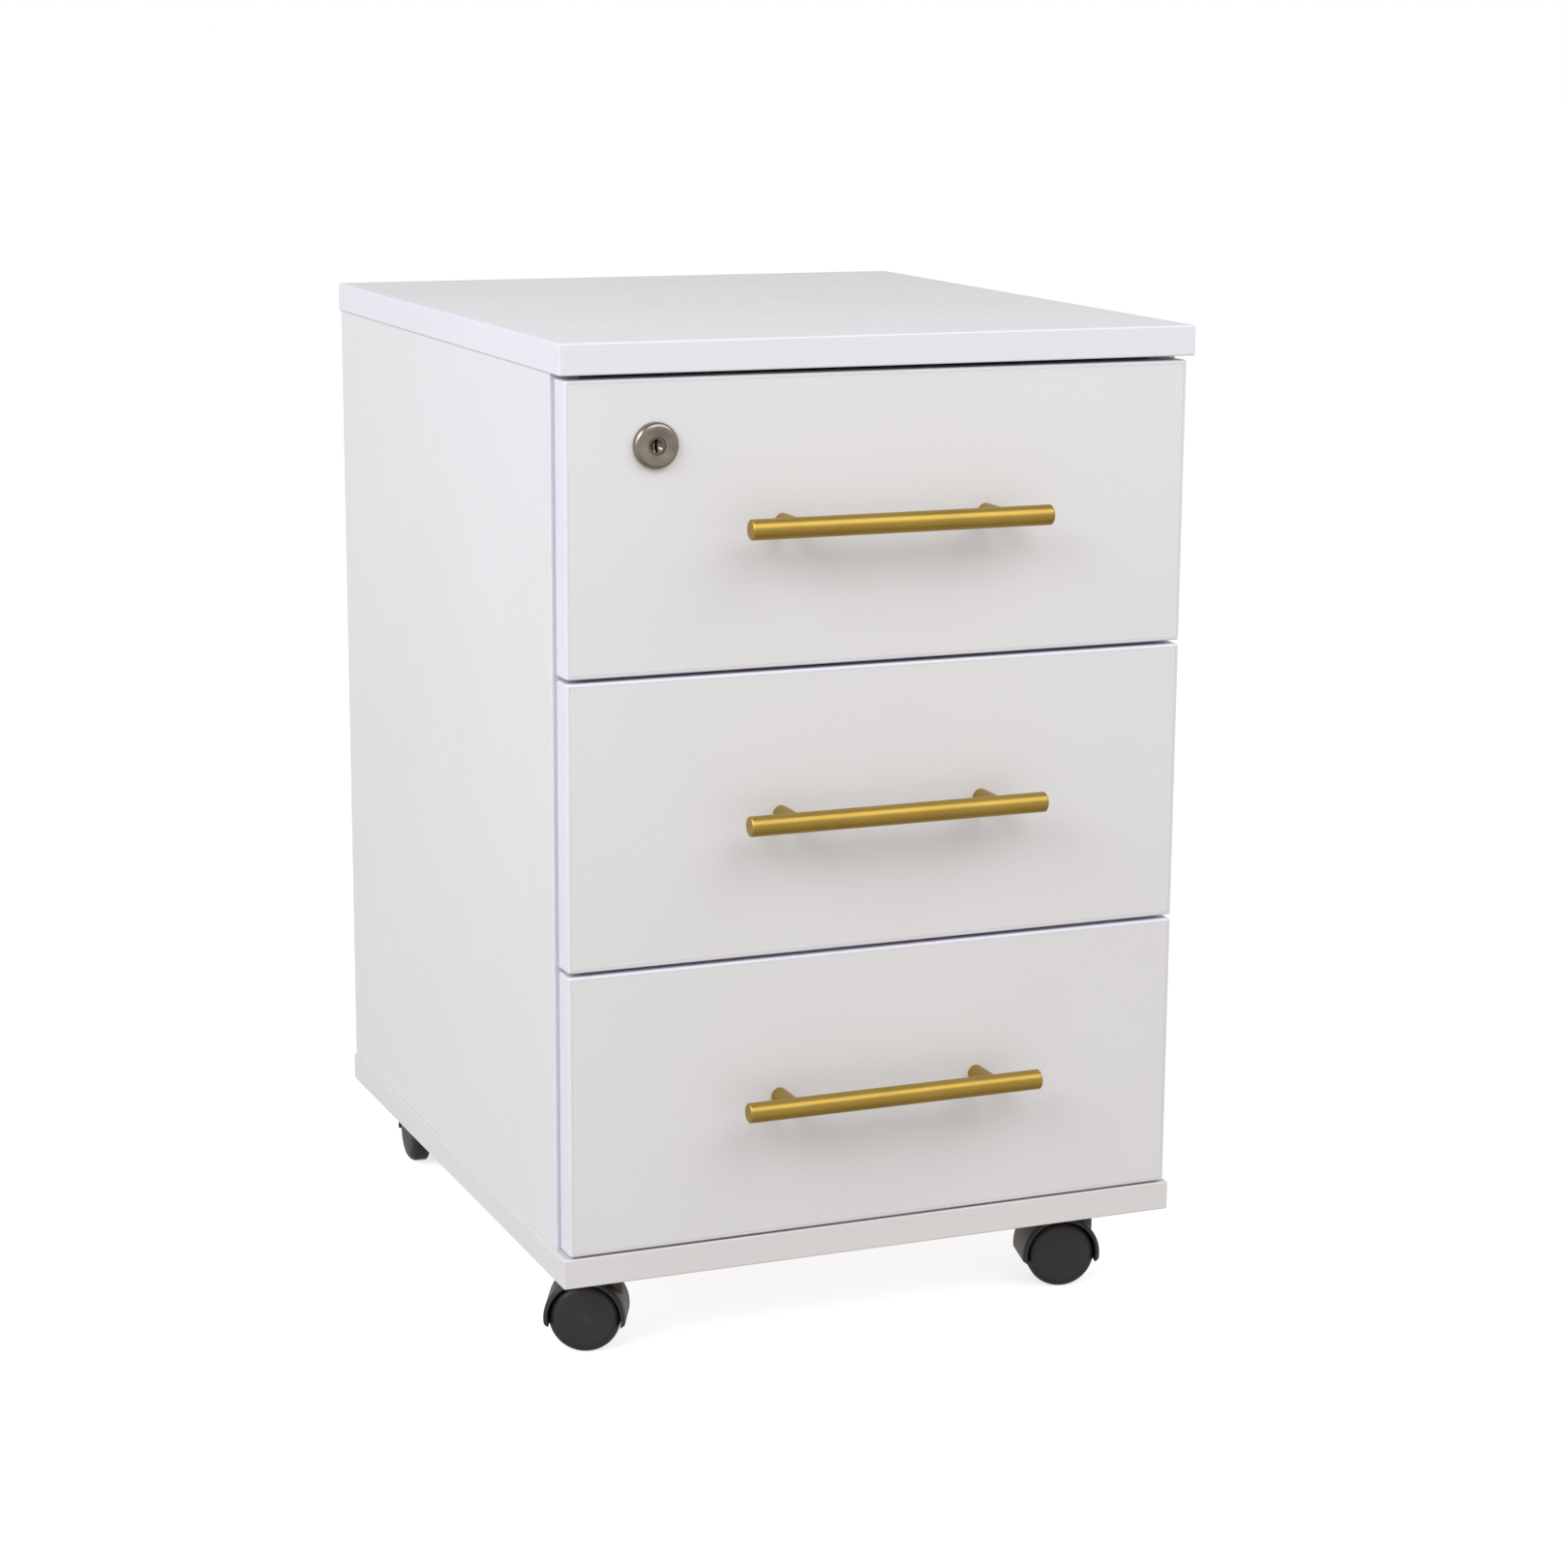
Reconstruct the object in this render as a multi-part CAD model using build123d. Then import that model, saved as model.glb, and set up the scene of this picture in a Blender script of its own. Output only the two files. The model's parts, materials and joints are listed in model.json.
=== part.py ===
from build123d import *
import os
from math import cos, sin, radians

# Rolling pedestal cabinet: three drawers in a white board carcass on four
# swivelling twin-wheel casters. Millimetres, +X to the right, +Z up, and the
# drawer fronts face -Y. The origin is on the floor under the middle of the
# bounding box, which takes in the handles.

# --- carcass ---------------------------------------------------------------
BOARD = 18.0                 # thickness of the carcass boards and the fronts
BAND = 2.0                   # PVC edge banding
FRONT_BAND_R = 1.5           # rounding of the fronts' outer edges
BOARD_BAND_R = 1.0           # rounding of the carcass boards' outer edges
SEAM = 0.25                  # eased edge of a board where its banding starts
TOP_W = 397.0                # top and base share one width
TOP_PROUD = 3.0              # the top stands this far in front of the fronts
BODY_D = 454.5               # drawer fronts' face to the rear edge
BASE_SETBACK = 0.5           # the base's front edge behind the fronts' face
SIDE_OUT_W = 394.0           # across the outside of the two side panels
CASTER_H = 53.0              # floor to the underside of the base
SIDE_H = 514.5               # the side panels stand between base and top
BACK_T = 16.0
BACK_INSET = 2.0

# --- drawers ---------------------------------------------------------------
FRONT_W = 389.5
FRONT_H = 168.7
FRONT_GAP = 2.2              # between two fronts
BASE_GAP = 1.3               # below the lower front
SHUT_GAP = 1.0               # between a front's back and the side panels
BOX_T = 12.0                 # drawer box sides and back
BOX_H = 124.0
BOX_RISE = 14.0              # box above the lower edge of its front
BOX_L = 400.0
BOTTOM_T = 4.0
BOTTOM_RISE = 10.0           # bottom panel above the lower edge of the box
GROOVE = 6.0
FIT = 0.1                    # slack of a panel in its groove
CUT = 1.0                    # cuts start this far outside the material
RUNNING = 0.05               # radial clearance of a pin or shaft in its hole

# --- slides ----------------------------------------------------------------
SLIDE_SPACE = 13.0           # side panel to drawer box
RAIL_T = 1.2
# each channel: web and lips, measured from the side panel, and half its height
CABINET_RAIL = (0.0, 9.6, 22.7)
MIDDLE_RAIL = (3.6, 11.0, 18.4)
DRAWER_RAIL = (SLIDE_SPACE, 6.2, 14.2)
RAIL_SCREWS = (37.0, 185.0, 357.0)  # from the rail's front end
RAIL_L = 396.0
RAIL_START = 20.5            # start of the rails behind the fronts' face

# --- handles ---------------------------------------------------------------
HANDLE_PITCH = 128.0
BAR_L = 188.0
BAR_R = 6.0
BAR_OUT = 26.0               # the bar's centre line in front of the front
BAR_END = 0.8                # chamfer of the bar's ends
POST_R = 5.0
SCREW_R = 2.0
SCREW_IN = 10.0              # handle screw's length inside the post
SCREW_SLACK = 0.3            # clearance of a handle screw in the front
# half section of a handle screw's head: radius, and place along the screw
SCREW_HEAD = [(0, -2.4), (2.6, -2.4), (3.9, -1.2), (3.9, 0), (0, 0)]

# --- lock ------------------------------------------------------------------
LOCK_X = -141.2
LOCK_DROP = 37.85            # lock centre below the upper front's top edge
FLANGE_R = 13.4
FLANGE_OUT = 4.4
BARREL_R = 9.5
BARREL_TAIL = 8.0            # the barrel's end behind the front
PLUG_R = 5.4
PLUG_SUNK = 2.0              # the plug's face below the rosette's rim
DISH_R = 9.4                 # dished face round the plug
DISH_IN = 1.3                # the dish's depth at the plug
DISH_OUT = 0.5               # and at its outer edge
SKIRT_R = 3.0                # rounding of the rosette's outer edge
DIMPLE_R = 3.8               # funnel in the plug's face that leads the key in
DIMPLE_FOOT = 2.0
DIMPLE_DEPTH = 1.3
KEYWAY = (1.5, 24.0, 7.6)    # width, depth both ways from the plug's face, height
TAIL_R = 3.2
TAIL_PROUD = 2.5             # the plug's tail beyond the cam
NUT_R = 11.5
NUT_T = 4.0
CAM_GAP = 0.3                # barrel to cam
CAM_REACH = 49.0
CAM_W = 13.0
CAM_T = 2.2
CAM_CORNER = 5.0
CAM_SLOT_DEPTH = 12.0        # slot in the underside of the top
CAM_SLOT_SPARE = 2.0
CAM_SWEEP = 31.0             # the slot's reach on the side the cam swings in from

# --- casters ---------------------------------------------------------------
PIVOT_X = 156.5
FRONT_PIVOT = 38.5           # front pivots behind the fronts' face
REAR_PIVOT = 48.0            # rear pivots in front of the rear edge
TRAIL = 14.5
WHEEL_R = 21.5
WHEEL_OUT = 16.8             # hub plane to the crown of a wheel's domed face
WHEEL_TREAD = 7.6            # flat width of the tread
WHEEL_EASE = 0.7             # inner edge of the tread
SHOULDER = (1.6, 3.0)        # inside the tread's radius, outside its flat width
FACE_EDGE = (5.5, 5.0)       # where the shoulder runs into the domed face
WEB_HALF = 3.0               # web between the wheels
WEB_GAP = 0.4
WEB_LOW = 8.5                # the web's foot in front of and behind the axle
WEB_FOOT = 8.0
WEB_BOTTOM = 5.5
HOOD_HALF = 16.5
HOOD_R = 24.6                # outside of the hood, round the axle
HOOD_CUT_R = 22.0            # inside of the hood over the wheels
HOOD_END = 8.0               # degrees below the axle where both ends stop
HOOD_EDGE_R = 2.4
HOOD_ROUND_FROM = 20.0       # the hood's side edges are rounded above this height
BOSS_R = 8.0
BOSS_DEPTH = 6.0             # boss below the foot of the kingpin
BOSS_GAP = 0.4               # hood to swivel plate
PIN_Z = 39.6                 # foot of the kingpin
PIN_R = 4.0
PIN_GAP = 0.3
PLATE = 44.0
PLATE_T = 2.2
PLATE_CORNER = 4.0
PLATE_HOLE = 16.0
AXLE_R = 3.0
AXLE_HALF = 13.0
# axle direction on the floor, in degrees from +Y towards +X
CASTER_AXLE = {"fl": 25.0, "fr": 13.5, "rl": 94.0, "rr": 38.0}

# --- fixings ---------------------------------------------------------------
FIX_R = 1.6
FIX_L = 13.0
FIX_TIP = 2.0
FIX_SPARE = 0.5              # hole deeper than the screw
FIX_HEAD_R = 3.4
FIX_HEAD_H = 1.7
FIX_CROWN_R = 2.2            # flat crown of the pan head
FIX_RIM_H = 0.6
DISC_R = 7.5                 # cam disc of a carcass connector
DISC_T = 12.0
DISC_SLOT = (1.4, 9.0, 1.6)  # screwdriver slot: depth, length, width
POCKET_SPARE = 0.5
BOLT_R = 3.0
BOLT_IN = 11.0               # connector bolt in the top or the base
CONNECTOR_DROP = 34.0        # cam disc's centre from a side panel's end
FRONT_CONNECTOR = 45.0       # from a side panel's front edge
REAR_CONNECTOR = 85.0        # from the rear edge

# --- levels and faces that follow from the sizes above ----------------------
BAR_FRONT = BAR_OUT + BAR_R
FACE_Y = (BAR_FRONT - BODY_D) / 2
REAR_Y = FACE_Y + BODY_D
FLOOR_Z = CASTER_H + BOARD   # upper face of the base
CEIL_Z = FLOOR_Z + SIDE_H    # underside of the top
SIDE_X = SIDE_OUT_W / 2      # outer face of a side panel
INNER_X = SIDE_X - BOARD     # inner face of a side panel
BOX_X = INNER_X - SLIDE_SPACE
SIDE_Y = FACE_Y + BOARD + SHUT_GAP
BACK_Y = REAR_Y - BACK_INSET - BACK_T
BOX_Y = FACE_Y + BOARD       # a drawer box starts at the back of its front
RAIL_Y = FACE_Y + RAIL_START
PITCH = FRONT_H + FRONT_GAP
CONNECTOR_Y = [SIDE_Y + FRONT_CONNECTOR, REAR_Y - REAR_CONNECTOR]
LEVELS = {"bottom": 0, "middle": 1, "top": 2}
SIGNS = (-1, 1)
UP = (0, 0, 1)
INWARD = (0, 1, 0)           # from the fronts' face into the cabinet
OUTWARD = (0, -1, 0)

os.makedirs("parts", exist_ok=True)


def slab(x0, x1, y0, y1, z0, z1):
    centre = Pos((x0 + x1) / 2, (y0 + y1) / 2, (z0 + z1) / 2)
    return centre * Box(abs(x1 - x0), abs(y1 - y0), abs(z1 - z0))


def rod(start, direction, radius, length):
    """Cylinder that begins at start and runs along direction."""
    base = (Align.CENTER, Align.CENTER, Align.MIN)
    return Plane(start, z_dir=direction) * Cylinder(radius, length, align=base)


def turned(start, direction, profile):
    """Solid of revolution; profile holds (radius, distance along direction)."""
    face = Plane.XZ * make_face(Polyline(*profile, close=True))
    return Plane(start, z_dir=direction) * revolve(face, Axis.Z)


def banding(block, core, radius):
    return fillet(block.edges(), radius) - core


def save(name, *solids):
    whole = solids[0] if len(solids) == 1 else Compound(children=list(solids))
    export_step(whole, f"parts/{name}.step")


def front_z(level):
    return FLOOR_Z + BASE_GAP + level * PITCH


def rail_z(level):
    return front_z(level) + BOX_RISE + BOX_H / 2


# --- fixing screws: one pan-head size for slides and caster plates -----------
def fixing_screw(start, direction):
    """start is where the underside of the head sits."""
    crown = [(0, -FIX_HEAD_H), (FIX_CROWN_R, -FIX_HEAD_H)]
    rim = [(FIX_HEAD_R, -FIX_RIM_H), (FIX_HEAD_R, 0)]
    shank = [(FIX_R, 0), (FIX_R, FIX_L - FIX_TIP), (0, FIX_L)]
    return turned(start, direction, crown + rim + shank)


def fixing_hole(start, direction):
    return rod(start, direction, FIX_R + RUNNING, FIX_L + FIX_SPARE)


def rail_screw_points():
    for level in LEVELS.values():
        for step in RAIL_SCREWS:
            for side in SIGNS:
                yield side, (side * (INNER_X - RAIL_T), RAIL_Y + step, rail_z(level))


def pivots():
    front_y = FACE_Y + FRONT_PIVOT
    rear_y = REAR_Y - REAR_PIVOT
    return {
        "fl": (-PIVOT_X, front_y),
        "fr": (PIVOT_X, front_y),
        "rl": (-PIVOT_X, rear_y),
        "rr": (PIVOT_X, rear_y),
    }


def plate_screw_points():
    for px, py in pivots().values():
        for dx in SIGNS:
            for dy in SIGNS:
                yield (px + dx * PLATE_HOLE, py + dy * PLATE_HOLE, CASTER_H - PLATE_T)


rail_screws = [fixing_screw(point, (side, 0, 0)) for side, point in rail_screw_points()]
plate_screws = [fixing_screw(point, UP) for point in plate_screw_points()]
save("fixing_screws", *rail_screws, *plate_screws)


# --- connectors that hold the side panels to the top and the base ------------
def connectors():
    """Yields cam disc, its pocket, the bolt and the bolt's hole."""
    ends = ((CEIL_Z, 1), (FLOOR_Z, -1))
    for side in SIGNS:
        for end_z, up in ends:
            for y in CONNECTOR_Y:
                disc_z = end_z - up * CONNECTOR_DROP
                disc_at = (side * INNER_X, y, disc_z)
                disc = rod(disc_at, (side, 0, 0), DISC_R - RUNNING, DISC_T)
                slot = Pos(disc_at) * Box(*DISC_SLOT)
                pocket = rod(disc_at, (side, 0, 0), DISC_R, DISC_T + POCKET_SPARE)
                foot = (side * (INNER_X + BOARD / 2), y, end_z + up * BOLT_IN)
                reach = BOLT_IN + CONNECTOR_DROP - DISC_R
                bolt = rod(foot, (0, 0, -up), BOLT_R - RUNNING, reach)
                hole = rod(foot, (0, 0, -up), BOLT_R, reach + DISC_R / 2)
                yield disc - slot, pocket, bolt, hole


discs, pockets, bolts, bolt_holes = zip(*connectors())
save("connector_cams", *discs, *bolts)

# --- carcass boards ------------------------------------------------------------
TOP_Y = FACE_Y - TOP_PROUD
BASE_Y = FACE_Y + BASE_SETBACK
cam_slot = slab(
    LOCK_X - CAM_W / 2 - CAM_SLOT_SPARE, LOCK_X + CAM_SWEEP,
    BOX_Y + BARREL_TAIL + CAM_GAP - CAM_SLOT_SPARE,
    BOX_Y + BARREL_TAIL + CAM_GAP + CAM_T + CAM_SLOT_SPARE,
    CEIL_Z - CUT, CEIL_Z + CAM_SLOT_DEPTH,
)


def flat_board(front_y, z0):
    half = TOP_W / 2
    block = slab(-half, half, front_y, REAR_Y, z0, z0 + BOARD)
    inner = half - BAND
    core = slab(-inner, inner, front_y + BAND, REAR_Y - BAND, z0, z0 + BOARD)
    return chamfer(core.edges(), SEAM), banding(block, core, BOARD_BAND_R)


top_core, top_band = flat_board(TOP_Y, CEIL_Z)
base_core, base_band = flat_board(BASE_Y, CASTER_H)
save("top_panel", top_core - cam_slot - list(bolt_holes))
plate_holes = [fixing_hole(point, UP) for point in plate_screw_points()]
save("bottom_panel", base_core - list(bolt_holes) - plate_holes)

side_bands = []
for side, name in zip(SIGNS, ("left_side_panel", "right_side_panel")):
    inner, outer = side * INNER_X, side * SIDE_X
    panel = slab(inner, outer, SIDE_Y + BAND, REAR_Y - BAND, FLOOR_Z, CEIL_Z)
    panel = chamfer(panel.edges().filter_by(Axis.Z), SEAM)
    screw_holes = [
        fixing_hole(point, (side, 0, 0))
        for screw_side, point in rail_screw_points()
        if screw_side == side
    ]
    panel = panel - list(pockets) - list(bolt_holes) - screw_holes
    save(name, panel)
    for y0, exposed in ((SIDE_Y, slice(0, 2)), (REAR_Y - BAND, slice(2, 4))):
        strip = slab(inner, outer, y0, y0 + BAND, FLOOR_Z, CEIL_Z)
        uprights = strip.edges().filter_by(Axis.Z).sort_by(Axis.Y)
        side_bands.append(fillet(uprights[exposed], BOARD_BAND_R))
save("carcass_edge_banding", top_band, base_band, *side_bands)
save("back_panel", slab(-INNER_X, INNER_X, BACK_Y, BACK_Y + BACK_T, FLOOR_Z, CEIL_Z))


# --- drawer slides: three nested channels on each side --------------------------
def channel(side, x_web, x_lips, half_h, level):
    """Web at x_web, flanges towards x_lips, both measured from the side panel."""
    z = rail_z(level)
    x0 = side * (INNER_X - x_web)
    x1 = side * (INNER_X - x_lips)
    inward = 1 if x_lips > x_web else -1
    x_skin = side * (INNER_X - x_web - inward * RAIL_T)
    y0, y1 = RAIL_Y, RAIL_Y + RAIL_L
    block = slab(x0, x1, y0, y1, z - half_h, z + half_h)
    hollow = slab(x_skin, x1, y0, y1, z - half_h + RAIL_T, z + half_h - RAIL_T)
    return block - hollow


cabinet_rails = []
rail_holes = [fixing_hole(point, (side, 0, 0)) for side, point in rail_screw_points()]
for level in LEVELS.values():
    cabinet_rails += [channel(side, *CABINET_RAIL, level) - rail_holes for side in SIGNS]
save("slide_cabinet_rails", *cabinet_rails)


# --- drawers -----------------------------------------------------------------------
def handle(name, level):
    """Saves the pull's pieces and returns the holes for its screws."""
    z = front_z(level) + FRONT_H / 2
    bar = rod((-BAR_L / 2, FACE_Y - BAR_OUT, z), (1, 0, 0), BAR_R, BAR_L)
    posts = []
    screws = []
    holes = []
    for side in SIGNS:
        x = side * HANDLE_PITCH / 2
        post = rod((x, FACE_Y, z), OUTWARD, POST_R, BAR_OUT) - bar
        thread = rod((x, FACE_Y, z), OUTWARD, SCREW_R + RUNNING, SCREW_IN + FIX_TIP)
        posts.append((post - thread).solids().sort_by(Axis.Y)[-1])
        shank = rod((x, BOX_Y, z), OUTWARD, SCREW_R, BOARD + SCREW_IN)
        screws.append(shank + turned((x, BOX_Y, z), OUTWARD, SCREW_HEAD))
        holes.append(rod((x, FACE_Y - CUT, z), INWARD, SCREW_R + SCREW_SLACK, BOARD + 2 * CUT))
    save(f"{name}_handle_bar", chamfer(bar.edges().filter_by(GeomType.CIRCLE), BAR_END))
    save(f"{name}_handle_posts", *posts)
    save(f"{name}_handle_screws", *screws)
    return holes


def drawer_front(name, level, groove):
    z0 = front_z(level)
    half = FRONT_W / 2
    inner = half - BAND
    block = slab(-half, half, FACE_Y, BOX_Y, z0, z0 + FRONT_H)
    core = slab(-inner, inner, FACE_Y, BOX_Y, z0 + BAND, z0 + FRONT_H - BAND)
    save(f"{name}_edge_banding", banding(block, core, FRONT_BAND_R))
    core = chamfer(core.edges(), SEAM) - groove - handle(name, level)
    if name == "drawer_top":
        core = core - rod((LOCK_X, FACE_Y - CUT, LOCK_Z), INWARD, BARREL_R, BOARD + 2 * CUT)
    save(f"{name}_front", core)


def drawer(name, level):
    box_z = front_z(level) + BOX_RISE
    top_z = box_z + BOX_H
    bottom_z = box_z + BOTTOM_RISE
    rear_y = BOX_Y + BOX_L
    back_y = rear_y - BOX_T
    inside = BOX_X - BOX_T

    def bottom_panel(reach, slack):
        return slab(
            -inside - reach, inside + reach, BOX_Y - reach, back_y + reach,
            bottom_z - slack, bottom_z + BOTTOM_T + slack,
        )

    groove = bottom_panel(GROOVE, FIT)
    sides = [slab(side * inside, side * BOX_X, BOX_Y, rear_y, box_z, top_z) for side in SIGNS]
    save(f"{name}_box_bottom", bottom_panel(GROOVE - FIT, 0))
    save(f"{name}_box_sides", *[panel - groove for panel in sides])
    save(f"{name}_box_back", slab(-inside, inside, back_y, rear_y, box_z, top_z) - groove)
    save(f"{name}_slide_rails", *[channel(side, *DRAWER_RAIL, level) for side in SIGNS])
    save(f"{name}_middle_rails", *[channel(side, *MIDDLE_RAIL, level) for side in SIGNS])
    drawer_front(name, level, groove)


LOCK_Z = front_z(LEVELS["top"]) + FRONT_H - LOCK_DROP
for label, level in LEVELS.items():
    drawer(f"drawer_{label}", level)

# --- cam lock on the upper drawer -----------------------------------------------------
LOCK_AT = (LOCK_X, FACE_Y, LOCK_Z)
PLUG_TIP = BOARD + BARREL_TAIL
PLUG_FACE = PLUG_SUNK - FLANGE_OUT
rosette = [
    (PLUG_R + RUNNING, DISH_IN - FLANGE_OUT),
    (DISH_R, DISH_OUT - FLANGE_OUT),
    (DISH_R, -FLANGE_OUT),
    (FLANGE_R, -FLANGE_OUT),
    (FLANGE_R, 0),
    (BARREL_R - RUNNING, 0),
    (BARREL_R - RUNNING, PLUG_TIP),
    (PLUG_R + RUNNING, PLUG_TIP),
]
housing = turned(LOCK_AT, INWARD, rosette)
outer_circles = housing.edges().filter_by(GeomType.CIRCLE).sort_by(SortBy.RADIUS)[-2:]
save("lock_housing", fillet(outer_circles.sort_by(Axis.Y)[0], SKIRT_R))

nut = Plane((LOCK_X, BOX_Y, LOCK_Z), z_dir=INWARD) * extrude(RegularPolygon(NUT_R, 6), NUT_T)
save("lock_nut", nut - rod(LOCK_AT, INWARD, BARREL_R, PLUG_TIP))

TAIL_TIP = PLUG_TIP + CAM_T + TAIL_PROUD
plug_outline = [
    (0, PLUG_FACE + DIMPLE_DEPTH),
    (DIMPLE_FOOT, PLUG_FACE + DIMPLE_DEPTH),
    (DIMPLE_R, PLUG_FACE),
    (PLUG_R, PLUG_FACE),
    (PLUG_R, PLUG_TIP),
    (TAIL_R, PLUG_TIP),
    (TAIL_R, TAIL_TIP),
    (0, TAIL_TIP),
]
keyway = Pos(LOCK_X, FACE_Y + PLUG_FACE, LOCK_Z) * Box(*KEYWAY)
save("lock_plug", turned(LOCK_AT, INWARD, plug_outline) - keyway)

cam_y = FACE_Y + PLUG_TIP + CAM_GAP
cam_half = CAM_W / 2
cam = slab(
    LOCK_X - cam_half, LOCK_X + CAM_REACH, cam_y, cam_y + CAM_T, LOCK_Z - cam_half, LOCK_Z + cam_half
)
cam = fillet(cam.edges().filter_by(Axis.Y), CAM_CORNER)
save("lock_cam", cam - rod(LOCK_AT, INWARD, TAIL_R + RUNNING, 2 * PLUG_TIP))


# --- casters --------------------------------------------------------------------------
def caster_plane(key):
    """Plane through the swivel pivot: x trails, y runs along the axle, z is up."""
    px, py = pivots()[key]
    angle = radians(CASTER_AXLE[key])
    trail = (-cos(angle), sin(angle), 0)
    return Plane((px, py, 0), x_dir=trail, z_dir=(0, 0, 1))


def caster_plate():
    top = Pos(0, 0, CASTER_H - PLATE_T / 2) * Box(PLATE, PLATE, PLATE_T)
    top = fillet(top.edges().filter_by(Axis.Z), PLATE_CORNER)
    foot = PIN_Z + PIN_GAP
    return top + rod((0, 0, foot), UP, PIN_R, CASTER_H - PLATE_T / 2 - foot)


def around_axle(degrees):
    """Point of the hood's side view on its outer circle."""
    turn = radians(degrees)
    return (TRAIL + HOOD_R * cos(turn), WHEEL_R + HOOD_R * sin(turn))


def caster_hood():
    lip = around_axle(-HOOD_END)
    chin = around_axle(180 + HOOD_END)
    fore = (TRAIL - WEB_FOOT, WEB_LOW)
    aft = (TRAIL + WEB_FOOT, WEB_LOW)
    outline = [
        ThreePointArc(lip, around_axle(90), chin),
        Line(chin, fore),
        ThreePointArc(fore, (TRAIL, WEB_BOTTOM), aft),
        Line(aft, lip),
    ]
    shell = extrude(Plane.XZ * make_face(outline), HOOD_HALF, both=True)
    rims = [
        edge for edge in shell.edges()
        if abs(abs(edge.center().Y) - HOOD_HALF) < FIT and edge.center().Z > HOOD_ROUND_FROM
    ]
    shell = fillet(rims, HOOD_EDGE_R)
    boss_z = PIN_Z - BOSS_DEPTH
    boss = rod((0, 0, boss_z), UP, BOSS_R, CASTER_H - PLATE_T - BOSS_GAP - boss_z)
    pockets = [
        rod((TRAIL, side * WEB_HALF, WHEEL_R), (0, side, 0), HOOD_CUT_R, HOOD_R)
        for side in SIGNS
    ]
    pin_hole = rod((0, 0, PIN_Z), UP, PIN_R + RUNNING, CASTER_H)
    axle_hole = rod((TRAIL, -HOOD_R, WHEEL_R), INWARD, AXLE_R, 2 * HOOD_R)
    return shell + boss - pockets - pin_hole - axle_hole


def caster_wheel(side):
    """Hub with a flat tread, a rounded shoulder and a domed outer face."""
    crown = WHEEL_OUT - WEB_HALF - WEB_GAP
    bore = AXLE_R + RUNNING
    deep = AXLE_HALF - WEB_HALF
    shoulder = (WHEEL_R - SHOULDER[0], WHEEL_TREAD + SHOULDER[1])
    face_edge = (WHEEL_R - FACE_EDGE[0], WHEEL_TREAD + FACE_EDGE[1])
    outline = [
        Polyline((0, crown), (0, deep), (bore, deep), (bore, 0), (WHEEL_R - WHEEL_EASE, 0),
                 (WHEEL_R, WHEEL_EASE), (WHEEL_R, WHEEL_TREAD)),
        ThreePointArc((WHEEL_R, WHEEL_TREAD), shoulder, face_edge),
        TangentArc((0, crown), face_edge, tangent=(1, 0)),
    ]
    wheel = revolve(Plane.XZ * make_face(outline), Axis.Z)
    return Plane((TRAIL, side * (WEB_HALF + WEB_GAP), WHEEL_R), z_dir=(0, side, 0)) * wheel


plates = []
for key, (px, py) in pivots().items():
    plates.append(Pos(px, py, 0) * caster_plate() - plate_holes)
    place = caster_plane(key)
    axle = rod((TRAIL, -AXLE_HALF, WHEEL_R), INWARD, AXLE_R, 2 * AXLE_HALF)
    save(f"caster_{key}_hood", place * caster_hood())
    save(f"caster_{key}_axle", place * axle)
    save(f"caster_{key}_wheel_a", place * caster_wheel(-1))
    save(f"caster_{key}_wheel_b", place * caster_wheel(1))
save("caster_plates", *plates)
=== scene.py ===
import json
import math

import bpy
from mathutils import Matrix, Vector


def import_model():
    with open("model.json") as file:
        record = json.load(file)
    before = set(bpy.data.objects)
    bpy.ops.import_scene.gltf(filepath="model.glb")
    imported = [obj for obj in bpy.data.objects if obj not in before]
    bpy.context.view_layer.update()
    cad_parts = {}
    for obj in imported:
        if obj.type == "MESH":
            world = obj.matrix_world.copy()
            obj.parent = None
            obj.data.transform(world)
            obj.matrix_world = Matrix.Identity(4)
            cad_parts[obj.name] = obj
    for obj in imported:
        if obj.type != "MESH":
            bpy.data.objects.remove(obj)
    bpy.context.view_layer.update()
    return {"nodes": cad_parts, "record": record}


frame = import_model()

# Looks for the rolling pedestal cabinet. Metres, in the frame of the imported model:
# +X to the right, the drawer fronts face -Y, +Z up, the floor at Z = 0.


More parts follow.
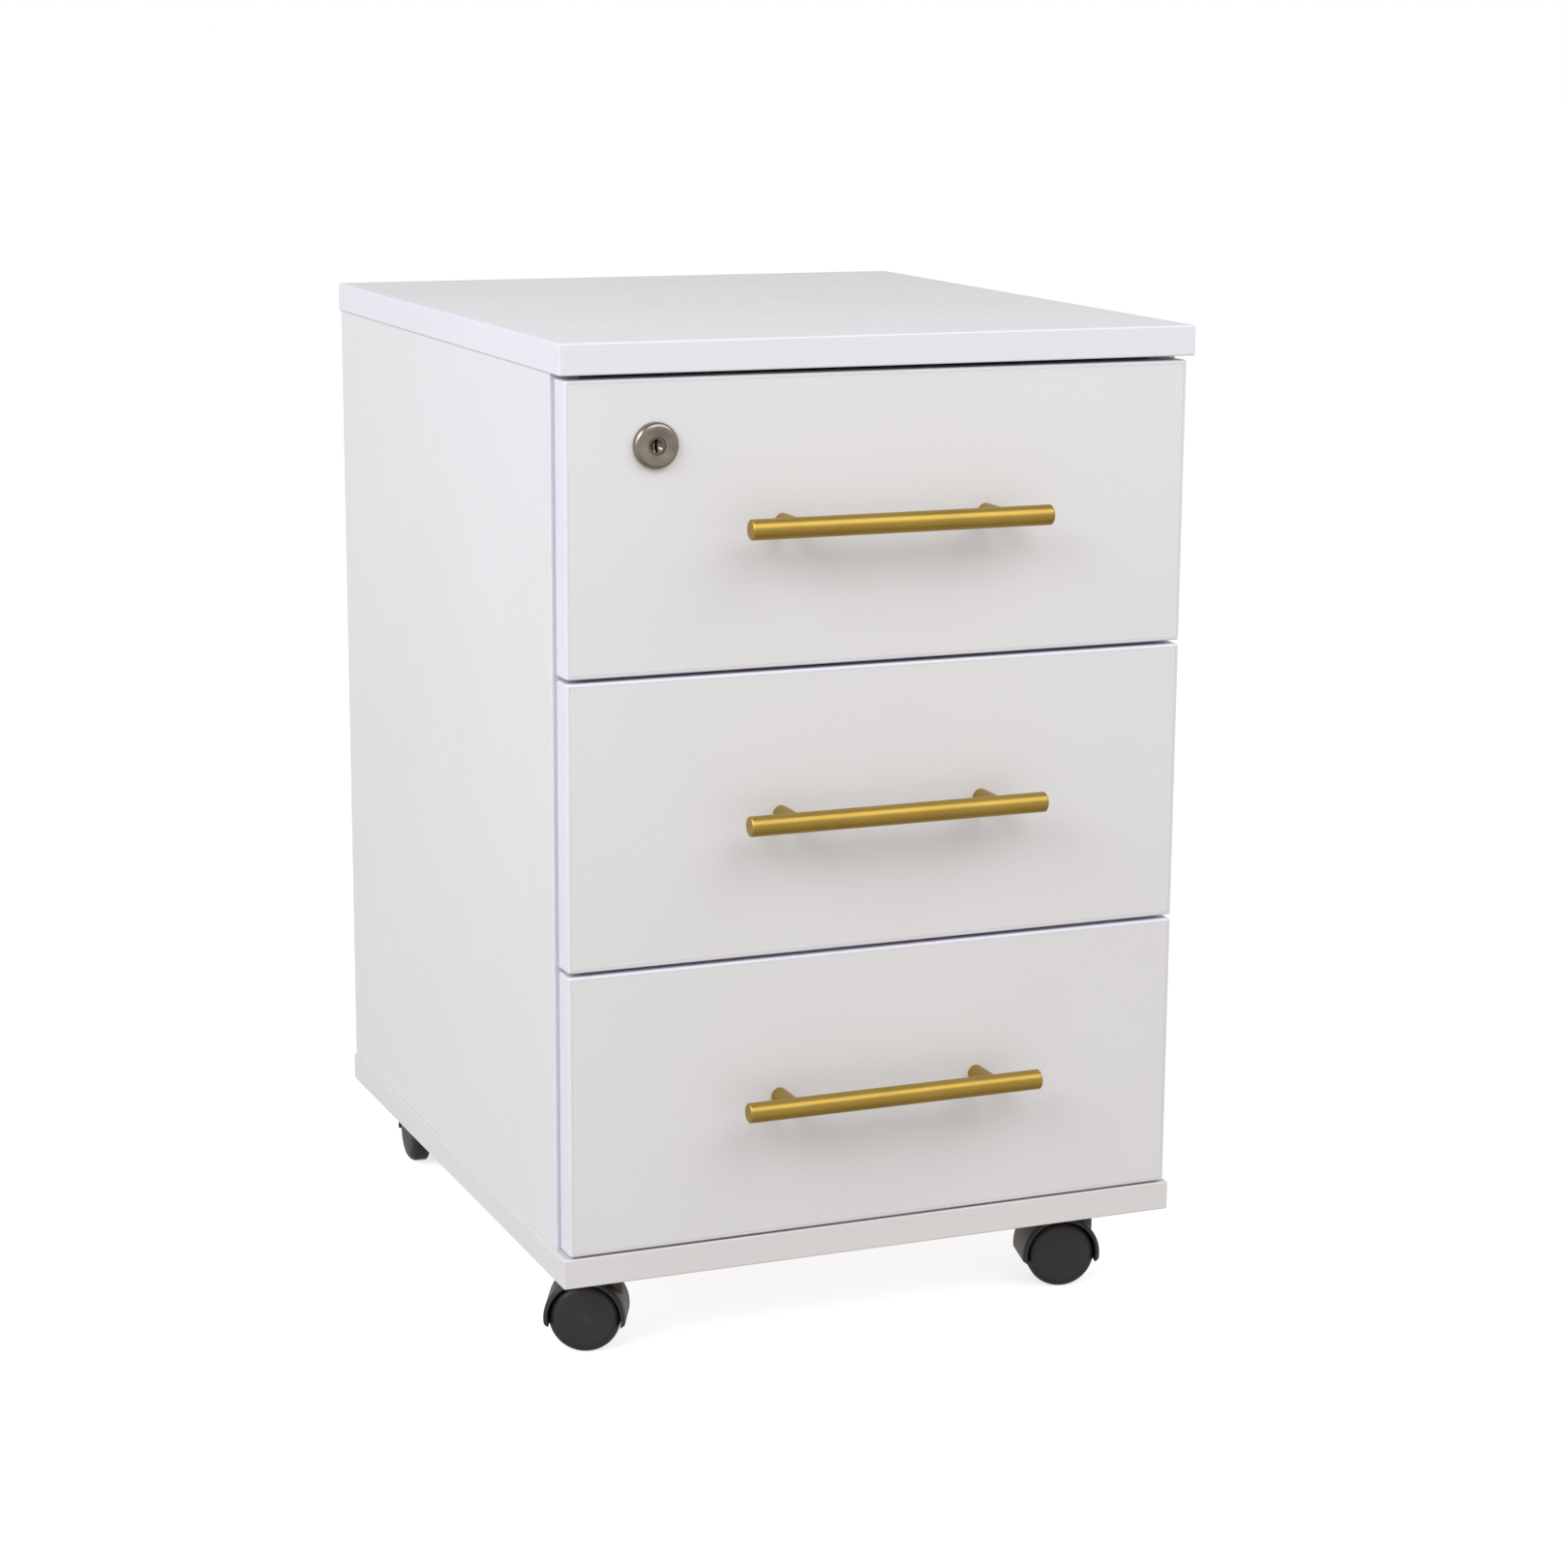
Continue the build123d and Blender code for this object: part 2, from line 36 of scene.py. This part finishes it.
# --- material building blocks ------------------------------------------------
class Look:
    """A Principled material whose patterns are in the frame's own metres."""

    def __init__(self, name, metallic=0.0):
        self.material = bpy.data.materials.new(name)
        self.material.use_nodes = True
        self.tree = self.material.node_tree
        self.shader = self.tree.nodes["Principled BSDF"]
        self.shader.inputs["Metallic"].default_value = metallic
        self.shader.inputs["IOR"].default_value = 1.5
        self.place = self.node("ShaderNodeTexCoord").outputs["Object"]

    def node(self, kind, **settings):
        made = self.tree.nodes.new(kind)
        for key, value in settings.items():
            setattr(made, key, value)
        return made

    def link(self, output, socket):
        self.tree.links.new(output, socket)

    def noise(self, scale, detail=2.0, stretch=(1, 1, 1)):
        """Noise value, about 0.5; scale is features per metre along a stretch of 1."""
        mapping = self.node("ShaderNodeMapping")
        mapping.inputs["Scale"].default_value = stretch
        self.link(self.place, mapping.inputs["Vector"])
        texture = self.node("ShaderNodeTexNoise")
        texture.inputs["Scale"].default_value = scale
        texture.inputs["Detail"].default_value = detail
        self.link(mapping.outputs["Vector"], texture.inputs["Vector"])
        return texture.outputs["Fac"]

    def spread(self, value, low, high, span=(0.3, 0.7)):
        """Maps a pattern's span onto low to high."""
        ranged = self.node("ShaderNodeMapRange")
        ranged.inputs["From Min"].default_value = span[0]
        ranged.inputs["From Max"].default_value = span[1]
        ranged.inputs["To Min"].default_value = low
        ranged.inputs["To Max"].default_value = high
        self.link(value, ranged.inputs["Value"])
        return ranged.outputs["Result"]

    def blend(self, factor, first, second):
        """Colour between two colours or colour outputs."""
        mix = self.node("ShaderNodeMix", data_type="RGBA")
        self.link(factor, mix.inputs["Factor"])
        for value, socket in ((first, mix.inputs[6]), (second, mix.inputs[7])):
            if isinstance(value, tuple):
                socket.default_value = (*value, 1.0)
            else:
                self.link(value, socket)
        return mix.outputs[2]

    def colour(self, output):
        self.link(output, self.shader.inputs["Base Color"])

    def gloss(self, pattern, low, high):
        self.link(self.spread(pattern, low, high), self.shader.inputs["Roughness"])

    def relief(self, *layers):
        """Stacks bumps; each layer is (pattern, depth in metres, strength)."""
        below = None
        for pattern, depth, strength in layers:
            bump = self.node("ShaderNodeBump")
            bump.inputs["Distance"].default_value = depth
            bump.inputs["Strength"].default_value = strength
            self.link(pattern, bump.inputs["Height"])
            if below is not None:
                self.link(below, bump.inputs["Normal"])
            below = bump.outputs["Normal"]
        self.link(below, self.shader.inputs["Normal"])


def melamine():
    look = Look("white_melamine")
    cloud = look.noise(7.0, 3.0)
    pearl = look.noise(900.0, 2.0)
    tint = look.blend(look.spread(cloud, 0, 1), (0.658, 0.655, 0.660), (0.678, 0.676, 0.683))
    look.colour(look.blend(look.spread(pearl, 0.0, 0.25), tint, (0.72, 0.72, 0.73)))
    look.gloss(look.noise(60.0, 3.0), 0.36, 0.46)
    look.relief((pearl, 0.00012, 0.35), (look.noise(260.0, 2.0), 0.00025, 0.12))
    return look.material


BASE_TOP = (0.0712, 0.0716)     # heights between the base's strips, coloured with painted shade, and those above it


def edging():
    """PVC strips; the base's are painted a slightly warmer, darker white than all the others, as
    painted shade along the bottom.
    """
    look = Look("white_pvc_edging")
    height = look.node("ShaderNodeSeparateXYZ")
    look.link(look.place, height.inputs[0])
    above_painted_shade = look.spread(height.outputs["Z"], 0, 1, span=BASE_TOP)
    cloud = look.spread(look.noise(9.0, 2.0), 0, 1)
    cool = look.blend(cloud, (0.680, 0.672, 0.730), (0.695, 0.687, 0.745))
    # painted shade: the base's strips, lowest on the cabinet, get a warmer and darker white than
    # the strips above
    base_painted_shade = look.blend(cloud, (0.650, 0.645, 0.645), (0.665, 0.660, 0.660))
    look.colour(look.blend(above_painted_shade, base_painted_shade, cool))
    look.gloss(look.noise(40.0, 2.0), 0.29, 0.35)
    look.relief((look.noise(30.0, 1.0), 0.0002, 0.05))
    return look.material


def hardboard():
    look = Look("lacquered_hardboard")
    grain = look.noise(420.0, 4.0)
    look.colour(look.blend(look.spread(grain, 0, 1), (0.56, 0.56, 0.57), (0.64, 0.64, 0.65)))
    look.gloss(grain, 0.42, 0.55)
    look.relief((grain, 0.0002, 0.3))
    return look.material


def satin_gold():
    look = Look("satin_gold", metallic=1.0)
    brushed = look.noise(1.0, 3.0, stretch=(22.0, 3200.0, 3200.0))
    cloud = look.noise(40.0, 2.0)
    tint = look.blend(look.spread(cloud, 0, 1), (0.365, 0.240, 0.047), (0.41, 0.275, 0.058))
    look.colour(look.blend(look.spread(brushed, 0, 0.25), tint, (0.52, 0.37, 0.108)))
    look.gloss(brushed, 0.37, 0.45)
    look.relief((brushed, 0.00002, 0.3))
    return look.material


def satin_metal(name, dark, light, rough, grain=900.0):
    look = Look(name, metallic=1.0)
    cloud = look.noise(90.0, 3.0)
    fine = look.noise(grain, 2.0)
    look.colour(look.blend(look.spread(cloud, 0, 1), dark, light))
    look.gloss(fine, *rough)
    look.relief((fine, 0.00003, 0.3))
    return look.material


def moulded_plastic(name, dark, light, rough):
    look = Look(name)
    grain = look.noise(1400.0, 2.0)
    cloud = look.noise(35.0, 3.0)
    look.colour(look.blend(look.spread(cloud, 0, 1), dark, light))
    look.gloss(cloud, *rough)
    look.relief((grain, 0.00005, 0.35))
    return look.material


LOOKS = {
    "white_board": melamine(),
    "white_edging": edging(),
    "grey_hardboard": hardboard(),
    "gold_metal": satin_gold(),
    "nickel": satin_metal(
        "satin_nickel", (0.235, 0.210, 0.175), (0.32, 0.29, 0.25), (0.21, 0.27)
    ),
    "dark_nickel": satin_metal(
        "dark_nickel", (0.13, 0.12, 0.105), (0.20, 0.185, 0.165), (0.17, 0.26)
    ),
    "slide_steel": satin_metal(
        "zinc_plated_steel", (0.56, 0.57, 0.58), (0.61, 0.62, 0.63), (0.31, 0.38), grain=400.0
    ),
    "fixing_steel": satin_metal(
        "fixing_steel", (0.42, 0.42, 0.41), (0.56, 0.56, 0.54), (0.30, 0.42)
    ),
    "caster_plastic": moulded_plastic(
        "hood_plastic", (0.015, 0.015, 0.0148), (0.022, 0.022, 0.0215), (0.40, 0.50)
    ),
    "wheel_plastic": moulded_plastic(
        "wheel_plastic", (0.0125, 0.0125, 0.0123), (0.0185, 0.0185, 0.018), (0.42, 0.52)
    ),
}
for part in frame["record"]["subparts"]:
    mesh = frame["nodes"][part["node"]].data
    mesh.materials.clear()
    mesh.materials.append(LOOKS[part["material_slot"]])


# --- stage: floor, light and camera --------------------------------------------
FLOOR_HALF = 30.0
FLOOR_GLOW = 0.74


def floor():
    """A pale floor that is bright in the picture but lights nothing and shows in no gloss."""
    mesh = bpy.data.meshes.new("floor")
    corners = [(x * FLOOR_HALF, y * FLOOR_HALF, 0) for x, y in ((-1, -1), (1, -1), (1, 1), (-1, 1))]
    mesh.from_pydata(corners, [], [(0, 1, 2, 3)])
    look = Look("pale_floor")
    look.colour(look.blend(look.noise(0.8, 2.0), (0.50, 0.50, 0.50), (0.52, 0.52, 0.52)))
    look.gloss(look.noise(30.0), 0.85, 0.95)
    look.shader.inputs["Emission Color"].default_value = (1.0, 1.0, 1.0, 1.0)
    look.shader.inputs["Emission Strength"].default_value = FLOOR_GLOW
    mesh.materials.append(look.material)
    plane = bpy.data.objects.new("floor", mesh)
    plane.visible_diffuse = False
    plane.visible_glossy = False
    bpy.context.scene.collection.objects.link(plane)


def softbox(name, at, target, size, power, colour):
    """A rectangular area lamp at one point, turned towards another."""
    lamp = bpy.data.lights.new(name, "AREA")
    lamp.shape = "RECTANGLE"
    lamp.size, lamp.size_y = size
    lamp.energy = power
    lamp.color = colour
    holder = bpy.data.objects.new(name, lamp)
    aim = (Vector(target) - Vector(at)).to_track_quat("-Z", "Y")
    holder.matrix_world = Matrix.Translation(at) @ aim.to_matrix().to_4x4()
    bpy.context.scene.collection.objects.link(holder)


def world(steps):
    """Studio surround, plain white to the camera itself.

    Steps are (height of the direction, from 0 down to 1 up, and its colour).
    """
    backdrop = bpy.data.worlds.new("studio")
    backdrop.use_nodes = True
    tree = backdrop.node_tree
    surround = tree.nodes["Background"]
    direction = tree.nodes.new("ShaderNodeSeparateXYZ")
    tree.links.new(tree.nodes.new("ShaderNodeTexCoord").outputs["Generated"], direction.inputs[0])
    height = tree.nodes.new("ShaderNodeMapRange")
    height.inputs["From Min"].default_value = -1.0
    tree.links.new(direction.outputs["Z"], height.inputs["Value"])
    ramp = tree.nodes.new("ShaderNodeValToRGB")
    tree.links.new(height.outputs["Result"], ramp.inputs["Fac"])
    marks = ramp.color_ramp.elements
    while len(marks) < len(steps):
        marks.new(0.5)
    for mark, (level, colour) in zip(marks, steps):
        mark.position = level
        mark.color = (*colour, 1.0)
    tree.links.new(ramp.outputs["Color"], surround.inputs["Color"])
    white = tree.nodes.new("ShaderNodeBackground")
    white.inputs["Color"].default_value = (1.0, 1.0, 1.0, 1.0)
    choose = tree.nodes.new("ShaderNodeMixShader")
    tree.links.new(tree.nodes.new("ShaderNodeLightPath").outputs["Is Camera Ray"], choose.inputs[0])
    tree.links.new(surround.outputs[0], choose.inputs[1])
    tree.links.new(white.outputs[0], choose.inputs[2])
    tree.links.new(choose.outputs[0], tree.nodes["World Output"].inputs["Surface"])
    bpy.context.scene.world = backdrop


CAMERA_AT = (-0.8283, -2.0859, 0.7864)
CAMERA_TURN = (23.024, 12.292, 0.504)   # degrees towards +X, down, and rolled
SENSOR_MM = 36.0
LENS_MM = 82.03
SHIFT_X = -0.0309


def camera():
    lens = bpy.data.cameras.new("camera")
    lens.sensor_width = SENSOR_MM
    lens.lens = LENS_MM
    lens.shift_x = SHIFT_X
    azimuth, elevation, roll = (math.radians(angle) for angle in CAMERA_TURN)
    forward = Vector((
        math.sin(azimuth) * math.cos(elevation),
        math.cos(azimuth) * math.cos(elevation),
        -math.sin(elevation),
    ))
    level = forward.cross(Vector((0, 0, 1))).normalized()
    upright = level.cross(forward)
    right = level * math.cos(roll) + upright * math.sin(roll)
    up = upright * math.cos(roll) - level * math.sin(roll)
    turn = Matrix((right, up, -forward)).transposed().to_4x4()
    holder = bpy.data.objects.new("camera", lens)
    holder.matrix_world = Matrix.Translation(CAMERA_AT) @ turn
    bpy.context.scene.collection.objects.link(holder)
    bpy.context.scene.camera = holder


# what the lamps are aimed at
FRONT_MIDDLE = (0.0, -0.21, 0.36)
FRONT_UPPER = (0.0, -0.21, 0.45)
LEFT_SIDE = (-0.2, 0.0, 0.30)

floor()
softbox("key", (-2.20, -1.80, 2.20), FRONT_MIDDLE, (1.4, 1.3), 36.0, (0.95, 0.97, 1.0))
softbox("overhead", (0.70, -1.50, 1.90), FRONT_UPPER, (2.2, 1.4), 24.5, (0.98, 0.98, 1.0))
softbox("left_fill", (-2.0, -0.2, 1.5), LEFT_SIDE, (1.5, 1.5), 21.7, (0.93, 0.95, 1.11))
world([
    (0.0, (0.38, 0.35, 0.32)),
    (0.40, (0.84, 0.79, 0.745)),
    (0.55, (0.84, 0.80, 0.78)),
    (0.75, (0.54, 0.535, 0.53)),
    (1.0, (0.38, 0.38, 0.39)),
])
camera()
bpy.context.scene.view_settings.view_transform = "Standard"
